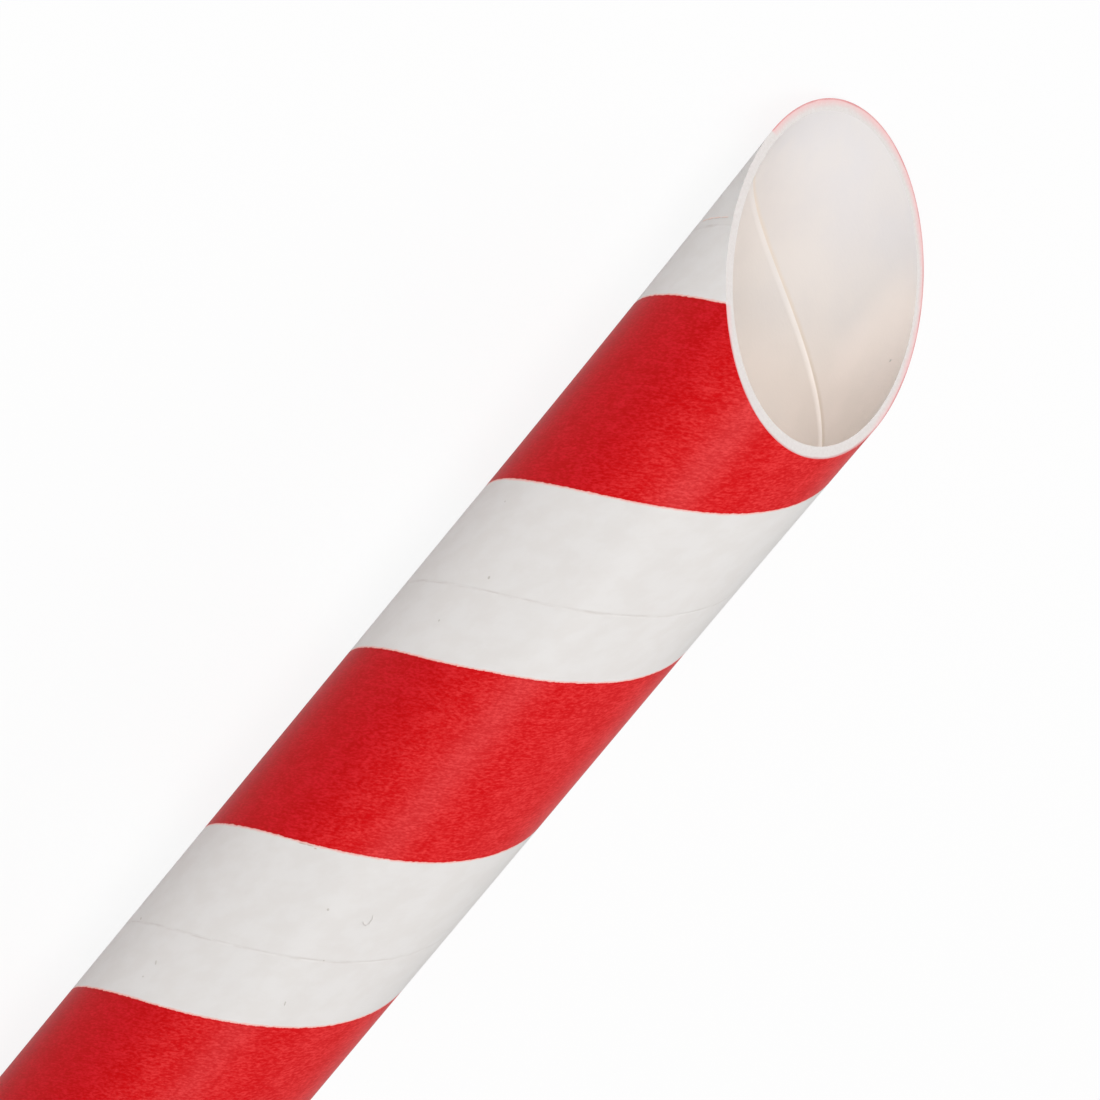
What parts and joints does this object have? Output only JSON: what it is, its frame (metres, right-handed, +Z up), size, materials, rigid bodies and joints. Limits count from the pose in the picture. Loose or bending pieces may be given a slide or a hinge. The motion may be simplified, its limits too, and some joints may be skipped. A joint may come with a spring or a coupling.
{
  "type": "paper drinking straw",
  "caption": "Wide spiral-wound paper straw with a slanted piercing tip, a square drinking end and a red helical stripe on white paper.",
  "frame": {"origin": "middle of the straw's bounding box, on the surface that it lies on", "axes": "+X along the straw towards the slanted tip, +Z up, the way the mouth is turned"},
  "size_m": [0.21, 0.0123, 0.0124],
  "materials": {
    "striped_paper": "matte food-grade paper, printed with one wide red helical stripe"
  },
  "bodies": {
    "root": {"straw": "striped_paper"}
  },
  "joints": []
}
